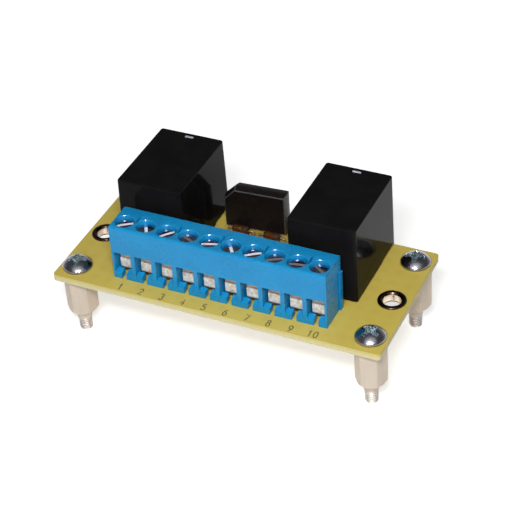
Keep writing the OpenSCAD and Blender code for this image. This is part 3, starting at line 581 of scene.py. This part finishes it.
digitStrokes = {  # pen paths in a box one wide and one tall
    "0": [arc((0.5, 0.5), (0.42, 0.5), 90, 450)],
    "1": [np.array([(0.22, 0.78), (0.55, 1.0), (0.55, 0.0)])],
    "2": [np.concatenate([arc((0.5, 0.72), (0.4, 0.28), 170, -25), [(0.08, 0.0), (0.94, 0.0)]])],
    "3": [np.concatenate([arc((0.47, 0.75), (0.36, 0.25), 155, -75),
                          arc((0.47, 0.26), (0.42, 0.26), 75, -155)])],
    "4": [np.array([(0.72, 0.0), (0.72, 1.0), (0.05, 0.3), (0.98, 0.3)])],
    "5": [np.concatenate([[(0.88, 1.0), (0.2, 1.0), (0.14, 0.55)],
                          arc((0.47, 0.32), (0.42, 0.32), 125, -150)])],
    "6": [np.concatenate([[(0.8, 0.98), (0.3, 0.7)], arc((0.5, 0.3), (0.4, 0.3), 165, 525)])],
    "7": [np.array([(0.08, 1.0), (0.92, 1.0), (0.36, 0.0)])],
    "8": [arc((0.5, 0.76), (0.32, 0.24), -90, 270), arc((0.5, 0.27), (0.41, 0.27), 90, 450)],
    "9": [np.concatenate([arc((0.5, 0.7), (0.4, 0.3), -15, 345), [(0.7, 0.3), (0.2, 0.02)]])],
}


def penStroke(path, look):
    # a flat oval of ink carried along the pen's path, drawn in at both ends
    step = np.gradient(path, axis=0)
    step /= np.linalg.norm(step, axis=1, keepdims=True) + 1e-9
    aside = np.stack([-step[:, 1], step[:, 0]], 1)
    first, last = (path[k] + way * step[k] * look["pen"] * look["cap"] for k, way in ((0, -1), (-1, 1)))
    ends = np.concatenate([[first], path, [last]])
    aside = np.concatenate([aside[:1], aside, aside[-1:]])
    full = np.ones(len(ends))
    full[[0, -1]] = 0
    angle = np.linspace(0, 2 * pi, 9)
    flat = ends[None] + np.cos(angle)[:, None, None] * (aside * full[:, None])[None] * look["pen"] / 2
    height = boardTop + look["lift"] + np.sin(angle)[:, None] * full[None] * look["thick"] / 2
    grid = np.concatenate([flat, height[..., None]], -1)
    grid[-1] = grid[0]
    return grid


def numberStrokes(look):
    # each pole's number, its digits one gap apart about a middle just aside of the pole
    strokes = []
    for k, x in enumerate(poleX):
        word = str(k + 1)
        for place, digit in enumerate(word):
            left = x + look["aside"] - look["wide"] / 2 + (place - (len(word) - 1) / 2) * look["gap"]
            low = look["middleY"] - look["tall"] / 2
            strokes += [penStroke(path * (look["wide"], look["tall"]) + (left, low), look)
                        for path in digitStrokes[digit]]
    return strokes


skin("pole_numbers", numberStrokes(numerals), "ink", "board", "moulded_black", sharp=60)
print("board, solder and numbers made")

# terminal row

terminal = {"edge": 0.1, "wellReach": 2.31, "wellFloor": 11.2}  # mm, the floor from the board's top
wellX = np.array([middleOf(f"terminal_screw_{n}")[0] for n in range(1, 11)])
wellY = float(middleOf("terminal_screw_1")[1])


def inWell(x, y, z):
    # the walls and the chamfered mouth of a screw well
    away = np.hypot(x[:, None] - wellX, y[:, None] - wellY).min(1)
    return (away < terminal["wellReach"]) & (z > boardTop + terminal["wellFloor"])


for n in range(1, 6):
    softened(f"terminal_block_{n}", f"terminal_housing_{n}", "bluePlastic", "board", "blue_plastic",
             terminal["edge"], marks=inWell, others=("wellBlue",))
for n in range(1, 11):
    softened(f"contact_strip_{n}", f"terminal_contact_{n}", "tongueBronze", "board", "tinned_metal",
             terminal["edge"])
    softened(f"clamp_cage_{n}", f"terminal_clamp_{n}", "cageBright", f"clamp_{n}", "tinned_metal",
             terminal["edge"])


def smooth(value, width):
    # 0 below zero, 1 above width, with an even bend between
    t = np.clip(value / width, 0, 1)
    return t * t * (3 - 2 * t)


threadForm = {"fade": (0.25, 0.35), "tip": 0.3, "tipLead": 0.02, "tipShare": 0.72, "plain": 0.4,
              "crest": 0.8}  # the plain ends' share of the depth, and the crest's power


def threaded(middle, radius, top, bottom, pitch, depth, steps=40, rows=8, form=threadForm):
    # a rod whose radius follows a rounded wave along a helix; the wave fades out to a plain rod at
    # both ends, and the lower end narrows with the root of the way to its tip
    count = int((top - bottom) / pitch * rows) + 2
    angle = np.linspace(0, 2 * pi, steps + 1)[:, None]
    height = np.linspace(bottom, top, count)[None]
    phase = (height / pitch - angle / (2 * pi)) % 1
    crest = 0.5 - 0.5 * np.cos(2 * pi * phase)
    fade = smooth(height - bottom, form["fade"][0]) * smooth(top - height, form["fade"][1])
    taper = np.minimum(1, (height - bottom + form["tipLead"]) / form["tip"])
    reach = radius * (form["tipShare"] + (1 - form["tipShare"]) * np.sqrt(np.clip(taper, 0, 1)))
    away = reach - depth * (1 - crest ** form["crest"]) * fade - depth * form["plain"] * (1 - fade)
    grid = np.stack([away * np.cos(angle), away * np.sin(angle), np.broadcast_to(height, away.shape)], -1)
    grid = np.concatenate([grid[:, :1] * (0, 0, 1), grid, grid[:, -1:] * (0, 0, 1)], 1)
    grid[-1] = grid[0]
    return grid + np.array([*middle, 0])


clampScrew = {"radius": 1.9, "tall": 1.5, "edge": 0.2, "crown": 0.06, "foot": 0.1,
              "slot": 0.7, "slotDeep": 0.8, "lip": 0.05, "wall": 0.01, "straight": 0.6,
              "stem": 1.25, "stemIn": 0.2, "pitch": 0.45, "thread": 0.16}
slotTurns = (35, -60, 48, -23, 17, -54, 33, 30, 11, -34)  # degrees from +X
# poles whose slot floor takes the painted-shade copy instead of the painted highlight
shadedSlots = (4, 8, 9, 10)  # poles


def slottedHead(look, turn):
    # rows run along the slot at fixed distances from its middle, columns from one rim to the other;
    # past the flat top the rows go on over the rounded rim and down the side
    r, tall, half, lip = look["radius"], look["tall"], look["slot"] / 2, look["lip"]
    top = r - look["edge"]
    straight = look["straight"]
    outer = np.concatenate([np.linspace(half + lip, straight, 3)[1:],
                            straight + (top - straight) * np.sin(np.linspace(0, pi / 2, 15))[1:]])
    slotRows = [0.0, half * 0.5, half - look["wall"], half, half + lip * 0.3, half + lip]
    right = np.concatenate([slotRows, outer])
    sunk = np.concatenate([[1, 1, 1, 0.06, 0.015, 0], np.zeros(len(outer))])  # shares of the slot's depth
    across, sunk = np.concatenate([-right[:0:-1], right]), np.concatenate([sunk[:0:-1], sunk])
    floor = tall - look["slotDeep"]
    t = np.sin(np.linspace(-pi / 2, pi / 2, 31))
    along = t[None] * np.sqrt(np.maximum(top * top - across * across, 0))[:, None]
    wide = np.broadcast_to(across[:, None], along.shape)
    crown = tall + look["crown"] * (1 - (along ** 2 + wide ** 2) / top ** 2)
    height = crown - sunk[:, None] * (crown - floor)
    plate = np.stack([along, wide, height], -1)
    bend = arc((top, tall - look["edge"]), look["edge"], 90, 0, 7)[1:]
    rim = np.concatenate([bend, [(r, look["foot"]), (r - look["foot"], 0), (0, 0)]])
    flanks = []
    for way in (-1, 1):
        ring = [plate[:, 0 if way < 0 else -1]]
        for reach, level in rim:
            stretch = np.maximum(np.abs(across) - straight, 0) / (top - straight)
            aside = across + np.sign(across) * stretch * (reach - top) if reach > 0 else across * 0
            out = way * np.sqrt(np.maximum(reach * reach - aside * aside, 0))
            ring.append(np.stack([out, aside, np.minimum(level, ring[0][:, 2])], -1))
        flanks.append(np.stack(ring, 1))
    spin = np.array([[cos(turn), sin(turn), 0], [-sin(turn), cos(turn), 0], [0, 0, 1]])
    return [patch @ spin for patch in (plate, *flanks)]


def inSlot(look, middle, turn, top, x, y, z):
    # within the slot's half width of the line through the head's middle, from its floor up
    across = (y - middle[1]) * cos(turn) - (x - middle[0]) * sin(turn)
    floor = top - look["slotDeep"]
    return (np.abs(across) < look["slot"] / 2) & (z > floor - 0.05) & (z < floor + 0.9)


for n, degrees in enumerate(slotTurns, 1):
    low, high = boxOf(f"terminal_screw_{n}")
    middle = (low + high) / 2
    seat = high[2] - clampScrew["tall"]
    turn = radians(degrees)
    head = [patch + (*middle[:2], seat) for patch in slottedHead(clampScrew, turn)]
    stem = threaded(middle[:2], clampScrew["stem"], seat + clampScrew["stemIn"], low[2],
                    clampScrew["pitch"], clampScrew["thread"], steps=28, rows=6)
    skin(f"clamp_screw_{n}", [*head, stem], "clampScrewSteel", f"screw_{n}", "plated_steel",
         stands=(f"terminal_screw_{n}",), sharp=40, marks=partial(inSlot, clampScrew, middle, turn, high[2]),
         others=("slotPaintedShade" if n in shadedSlots else "slotPaintedHighlight",))
print("terminal row made")

# relays

relayLook = {
    "edge": 0.5, "innerEdge": 0.1, "topRound": 0.38, "draft": 0.25, "skirt": 0.9, "pocket": 2.4,
    "notch": 0.5, "notchLong": 6.5, "notchRamp": 0.12, "notchRim": 0.16,
    "cornerSteps": 7, "sideSteps": 36,
    "bar": (2.0, 0.52, 0.12), "barFromBack": 1.8, "barEdge": 0.06,
}


def roundedOutline(halfX, halfY, radius, cornerSteps, sideSteps):
    # once round a rectangle with quarter circles at its corners, for every inset at once
    runs = []
    for sx, sy, start in ((1, -1, -90), (1, 1, 0), (-1, 1, 90), (-1, -1, 180)):
        angle = np.radians(np.linspace(start, start + 90, cornerSteps))[:, None]
        runs.append(np.stack([sx * (halfX - radius) + radius * np.cos(angle),
                              sy * (halfY - radius) + radius * np.sin(angle)], -1))
    pieces = []
    for k in range(4):
        t = np.linspace(0, 1, sideSteps + 1)[1:-1, None, None]
        pieces += [runs[k], runs[k][-1] * (1 - t) + runs[(k + 1) % 4][0] * t]
    ring = np.concatenate(pieces)
    return np.concatenate([ring, ring[:1]])


def relayShell(name, look):
    # levels of (inset, height) from the pocket's roof, round the skirt, up the drafted side and over
    # the top, each of them a rounded rectangle
    low, high = boxOf(name)
    halfX, halfY = (high[0] - low[0]) / 2, (high[1] - low[1]) / 2
    foot, top = low[2], high[2] - look["bar"][2]
    rounding = look["topRound"]
    over = arc((look["draft"] + rounding, top - rounding), rounding, 180, 90, 7)
    skirt, roof = look["skirt"], foot + look["pocket"]
    rim = [(skirt, foot + 0.04), (skirt - 0.08, foot), (0.1, foot), (0.02, foot + 0.05)]
    wall = np.linspace((0.01, foot + 0.15), (look["draft"], top - rounding - 0.05), 8)
    levels = np.concatenate([[(halfX, roof), (skirt, roof)], rim, wall, over,
                             [(halfX * 0.4, top), (halfX, top)]])
    inset, height = levels[:, 0], levels[:, 1]
    wide, deep = np.maximum(halfX - inset, 0), np.maximum(halfY - inset, 0)
    inner = np.maximum(look["edge"] - inset, look["innerEdge"])
    radius = np.minimum(np.where(inset > skirt - 0.2, inner, look["edge"]), wide)
    ring = roundedOutline(wide[None], deep[None], radius[None], look["cornerSteps"], look["sideSteps"])
    z = np.broadcast_to(height[None], ring.shape[:2]).copy()
    # the lower rim steps up along the back half of both long sides
    end, along, ramp = halfY - skirt, ring[..., 1], look["notchRamp"]
    step = smooth(along - (end - look["notchLong"]), ramp) * smooth(end - along, ramp)
    onSide = (np.abs(ring[..., 0]) > halfX - skirt - 0.02) & (z < foot + 0.2)
    z += np.where(onSide, look["notch"] * step, 0)
    most = foot + look["notch"] + look["notchRim"]
    z = np.where(onSide & (z > most), most, z)
    grid = np.concatenate([ring, z[..., None]], -1)
    return grid + np.array([(low[0] + high[0]) / 2, (low[1] + high[1]) / 2, 0])


def pillow(middle, size, edge):
    # a low bar with rounded corners and edges, from levels of inset and height
    w, d, top = size[0] / 2, size[1] / 2, size[2]
    levels = np.array([(0, -0.1), (0, top - edge), (edge * 0.3, top - edge * 0.3), (edge, top), (d, top)])
    inset = levels[:, 0]
    corner = np.full((1, len(inset)), 0.1) * (inset < d) + 1e-6
    ring = roundedOutline((w - inset)[None], (d - inset)[None], corner, 5, 3)
    z = np.broadcast_to(levels[:, 1][None], ring.shape[:2])
    cap = ring[:, :1] * 0
    grid = np.concatenate([ring, z[..., None]], -1)
    grid = np.concatenate([np.concatenate([cap, z[:, :1, None]], -1), grid], 1)
    return grid + np.asarray(middle)


for side in sides:
    cover = f"relay_cover_{side}"
    low, high = boxOf(cover)
    skin(f"relay_case_{side}", [relayShell(cover, relayLook)], "coverBlack", "board", "relay_black",
         stands=(cover,), sharp=30)
    barAt = ((low[0] + high[0]) / 2, high[1] - relayLook["barFromBack"], high[2] - relayLook["bar"][2])
    bar = pillow(barAt, relayLook["bar"], relayLook["barEdge"])
    # the bar's pale finish is a painted highlight
    skin(f"vent_bar_{side}", [bar], "ventPaintedHighlight", "board", "relay_black", sharp=40)
print("relays made")

# rectifier and diodes

rectifier = {"edge": 0.2, "edgeSteps": 3}
# the rounded edges take the lighter epoxy copy as a painted highlight
softened("rectifier_case", "rectifier_body", "epoxyBlack", "board", "moulded_black", rectifier["edge"],
         steps=rectifier["edgeSteps"], edgeSlot=1, others=("epoxyPaintedHighlight",))

diodeLook = {"long": 4.0, "radius": 0.95, "shoulder": 0.5, "waist": 0.05, "steps": 40,
             "slug": 0.6, "slugGap": 0.16, "slugInset": 0.25, "slugSteps": 28, "die": 0.34, "dieSteps": 20,
             "band": (0.95, 1.5), "bandIn": 0.04, "bandOut": 0.008, "bandEdge": 0.02}


def glassEnvelope(look):
    # a tube with rounded shoulders and a slight waist between them
    half, r, shoulder = look["long"] / 2, look["radius"], look["shoulder"]
    near = arc((r - shoulder, -half + shoulder), shoulder, -90, 0, 8)
    far = arc((r - shoulder, half - shoulder), shoulder, 0, 90, 8)
    waist = np.stack([r - look["waist"] * np.cos(np.linspace(-pi / 2, pi / 2, 9)) ** 2,
                      np.linspace(-half + shoulder, half - shoulder, 9)], 1)[1:-1]
    return np.concatenate([[(0, -half)], near, waist, far, [(0, half)]])


def diodeSlugs(look, middle):
    # two chamfered slugs along X, with the die between them
    r, gap, end = look["slug"], look["slugGap"], look["long"] / 2 - look["slugInset"]
    slug = np.array([(0, gap), (r - 0.06, gap), (r, gap + 0.06), (r, end - 0.1), (r - 0.15, end), (0, end)])
    slugs = [turned(slug * (1, s), middle, look["slugSteps"], lying=True) for s in (-1, 1)]
    die = [(0, -gap), (look["die"], -gap), (look["die"], gap), (0, gap)]
    return [*slugs, turned(die, middle, look["dieSteps"], lying=True)]


def cathodeBand(look, middle):
    # a thin painted ring whose edges thin out on the glass
    (near, far), edge = look["band"], look["bandEdge"]
    inner, outer = look["radius"] - look["bandIn"], look["radius"] + look["bandOut"]
    ring = [(inner, near), (outer, near + edge), (outer, far - edge), (inner, far), (inner, near)]
    return turned(ring, middle, look["steps"], lying=True)


for side in sides:
    middle = middleOf(f"coil_diode_{side}")
    glass = turned(glassEnvelope(diodeLook), middle, diodeLook["steps"], lying=True)
    skin(f"diode_glass_{side}", [glass], "amberGlass", "board", "amber_glass",
         stands=(f"coil_diode_{side}",), sharp=50)
    skin(f"diode_slugs_{side}", diodeSlugs(diodeLook, middle), "slugRed", "board", "tinned_metal", sharp=40)
    skin(f"diode_band_{side}", [cathodeBand(diodeLook, middle)], "bandBlack", "board", "moulded_black",
         sharp=60)
print("rectifier and diodes made")

# eyelets

eyeletLook = {"bore": 1.95, "wall": 0.25, "flange": 3.2, "rim": 2.8, "thick": 0.45, "flare": 0.32,
              "flareFrom": 0.15, "tilt": 62, "rollTurn": 75, "steps": 96}  # the turns in degrees


def eyeletSection(look, thickness):
    # up the bore, over the rolled head, down the outside and round the lower rim, back to the bore
    bore, wall, t = look["bore"], look["wall"], look["thick"]
    flare, start, lower, tilt = look["flare"], -look["flareFrom"], -thickness, look["tilt"]
    up = np.array([(bore, lower + 0.3), (bore, start)])
    lip = arc((bore + flare, start), flare, 180, 180 - tilt, 5)[1:]
    outer = arc((look["flange"] - t, 0.0), t, tilt, 0, 8)
    (lipR, lipZ), (outerR, outerZ), share = lip[-1], outer[0], np.linspace(0, 1, 8)
    crown = np.stack([np.linspace(lipR, outerR, 8)[1:-1],
                      np.interp(share, [0, 0.35, 1], [lipZ, t, outerZ])[1:-1]], 1)
    down = np.array([(look["flange"] - 0.06, 0.0), (bore + wall, 0.0), (bore + wall, lower)])
    roll = arc((look["rim"] - t, lower), t, 0, -look["rollTurn"], 7)
    inner = np.array([(bore + 0.5, lower - t), (bore + 0.12, lower - t + 0.1), (bore, lower)])
    return np.concatenate([up, lip, crown, outer, down, roll, inner, up[:1]])


def inBore(look, middle, x, y, z):
    # on the bore's wall, below the board's upper face, which takes a lighter copy of the metal as painted
    # light
    return (np.hypot(x - middle[0], y - middle[1]) < look["bore"] + 0.04) & (z < boardTop + 0.02)


for side in sides:
    middle = middleOf(f"eyelet_{side}")
    section = eyeletSection(eyeletLook, boardTop - boardUnder)
    ring = turned(section, (*middle[:2], boardTop), eyeletLook["steps"])
    skin(f"eyelet_ring_{side}", [ring], "flangeBlackAndPaintedReflection", "board", "plated_steel", stands=(f"eyelet_{side}",),
         sharp=40, marks=partial(inBore, eyeletLook, middle), others=("barrelPaintedLit",))
print("eyelets made")

# board screws

boardScrew = {"radius": 3.4, "rim": 0.6, "tall": 2.2, "rimRound": 0.18, "foot": 0.1, "steps": 176,
              "recessSpan": 2.1, "recessHalf": 0.6, "recessDeep": 1.35, "narrowing": 0.25, "rising": 0.42,
              "hub": 1.15, "hubRamp": 0.4, "wall": (0.04, 0.1), "wingEnd": (0.05, 0.14), "bowl": 1.3,
              "stem": 1.5, "stemIn": 0.1, "pitch": 0.5, "thread": 0.26}
recessTurns = dict(zip(corners, (20, 62, 35, 8)))  # degrees


def domeHeight(look, out):
    # a ball's cap that passes through the top of the head and the rim
    rise = look["tall"] - look["rim"]
    ball = (look["radius"] ** 2 + rise ** 2) / (2 * rise)
    return look["tall"] - ball + np.sqrt(ball ** 2 - out ** 2)


def crossHead(look, turn):
    # a dome with a straight rim; two crossed wings and a round hub are let in, deepest in the
    # middle, with walls that start a little outside and take a short run
    r, span = look["radius"], look["recessSpan"]
    out = np.concatenate([np.linspace(0, span, 54), np.linspace(span, r - 0.08, 14)[1:]])
    dome = np.stack([out, domeHeight(look, out)], 1)
    bend = arc((r - look["rimRound"], look["rim"] - look["rimRound"] * 0.6), look["rimRound"], 50, 0, 5)
    under = np.array([(r, look["foot"]), (r - look["foot"], 0), (0, 0)])
    grid = turned(np.concatenate([dome, bend, under]), (0, 0, 0), look["steps"])
    x = grid[..., 0] * cos(turn) + grid[..., 1] * sin(turn)
    y = grid[..., 1] * cos(turn) - grid[..., 0] * sin(turn)
    away = np.hypot(x, y)
    (wallOut, wallRun), (endOut, endRun), wings = look["wall"], look["wingEnd"], []
    for along, across in ((x, y), (y, x)):
        half = look["recessHalf"] * (1 - look["narrowing"] * np.abs(along) / span)
        wings.append(smooth(half - np.abs(across) + wallOut, wallRun) *
                     smooth(span - np.abs(along) + endOut, endRun))
    cut = np.maximum(*wings)
    hub = smooth(look["hub"] - away, look["hubRamp"])
    risen = look["rising"] * np.clip(away / span, 0, 1) ** look["bowl"]
    floor = look["tall"] - look["recessDeep"] * (1 - risen)
    upper = grid[..., 2] > look["rim"]
    depth = np.clip(grid[..., 2] - floor, 0, None) * np.maximum(cut, hub * 0.999)
    grid[..., 2] -= np.where(upper, depth, 0)
    return grid


def inRecess(look, middle, x, y, z):
    # where a face lies below the dome, within the wings' span
    away = np.hypot(x - middle[0], y - middle[1])
    dome = boardTop + domeHeight(look, np.minimum(away, 3))
    return (away < look["recessSpan"] + 0.1) & (z < dome - 0.06) & (z > boardTop + 0.3)


for corner in corners:
    low, high = boxOf(f"board_screw_{corner}")
    middle = (low + high) / 2
    head = crossHead(boardScrew, radians(recessTurns[corner])) + (*middle[:2], boardTop)
    stem = threaded(middle[:2], boardScrew["stem"], boardTop + boardScrew["stemIn"], low[2],
                    boardScrew["pitch"], boardScrew["thread"])
    skin(f"cross_screw_{corner}", [head, stem], "screwSteel", "board", "plated_steel",
         stands=(f"board_screw_{corner}",), sharp=45, marks=partial(inRecess, boardScrew, middle),
         others=("recessPaintedGlints",))
print("board screws made")

# standoffs

standoffLook = {
    "long": 12.0, "flats": 6.35, "end": 3.3, "cone": 2.3, "cornerCut": 3.6, "topChamfer": 0.3,
    "topFlat": 2.95, "collar": 0.35, "steps": 96,
    "neck": 0.45, "neckIn": 0.3, "neckEdge": 0.06, "neckFall": 0.05, "neckSteps": 48,
    "groove": 0.2, "grooveTall": 0.3,
    "stud": 1.5, "studIn": 0.1, "pitch": 0.5, "thread": 0.3, "tipPlain": 0.35,
}
hexTurns = dict(zip(corners, (21, 12, 24, 9)))  # degrees


def hexBody(look, turn, bottom, top):
    # the radius is the lesser of a hexagon's and a cone's above a short collar; rows follow the crease
    angle = np.linspace(0, 2 * pi, look["steps"] + 1)[:, None]
    within = (angle - turn) % (pi / 3) - pi / 6
    flat = np.minimum(look["flats"] / 2 / np.cos(within), look["cornerCut"])
    widest, end, topFlat = look["flats"] / 2 / cos(pi / 6), look["end"] / 2, look["topFlat"]
    start = bottom + look["collar"]
    crease = start + look["cone"] * (flat - end) / (widest - end)
    topCrease = top - look["topChamfer"] * (flat - topFlat) / (widest - topFlat)
    t = np.linspace(0, 1, 9)[None]
    coneZ, coneR = start + (crease - start) * t, end + (flat - end) * t
    bodyZ = crease + (topCrease - crease) * t[:, 1:]
    bodyR = np.broadcast_to(flat, bodyZ.shape)
    capR, capZ = np.full_like(angle, topFlat), np.full_like(angle, top)
    footR, footZ = np.full_like(angle, end), np.full_like(angle, bottom)
    radius = np.concatenate([footR * 0, footR, coneR, bodyR, capR, capR * 0], 1)
    height = np.concatenate([footZ, footZ, coneZ, bodyZ, capZ, capZ], 1)
    grid = np.stack([radius * np.cos(angle), radius * np.sin(angle), height], -1)
    grid[-1] = grid[0]
    return grid


def neckProfile(look, foot):
    # (radius, height) down a short neck to the groove where the stud's thread ends
    out, inner, edge = look["end"] / 2, look["stud"] - look["groove"], look["neckEdge"]
    upper, lower = foot + look["neckIn"], foot - look["neck"]
    end = lower - look["grooveTall"]
    return [(0, upper), (out, upper), (out, lower + edge), (out - edge, lower),
            (inner, lower - look["neckFall"]), (inner, end), (0, end)]


def onStud(look, middle, foot, tip, x, y, z):
    # below the neck, 1 on the thread's crests and 2 in the grooves between them, darker as painted shade
    limit = foot - look["neck"] + 0.03
    phase = (z / look["pitch"] - np.arctan2(y - middle[1], x - middle[0]) / (2 * pi)) % 1
    groove = (np.abs(phase - 0.5) > 0.3) & (z > tip + look["tipPlain"]) & (z < limit)
    return (z < limit) + groove.astype(int)


for corner in corners:
    low, high = boxOf(f"standoff_{corner}")
    middle = middleOf(f"board_screw_{corner}")
    foot = high[2] - standoffLook["long"]
    body = hexBody(standoffLook, radians(hexTurns[corner]), foot, high[2]) + (*middle[:2], 0)
    neck = turned(neckProfile(standoffLook, foot), (*middle[:2], 0), standoffLook["neckSteps"])
    stud = threaded(middle[:2], standoffLook["stud"], foot - standoffLook["neck"] - standoffLook["studIn"],
                    low[2], standoffLook["pitch"], standoffLook["thread"])
    skin(f"hex_standoff_{corner}", [body, neck, stud], "hexNickel", "board", "nickel_plate",
         stands=(f"standoff_{corner}",), sharp=25, marks=partial(onStud, standoffLook, middle, foot, low[2]),
         others=("studSteel", "studGrooveShade"))
print("standoffs made")

bpy.context.view_layer.update()
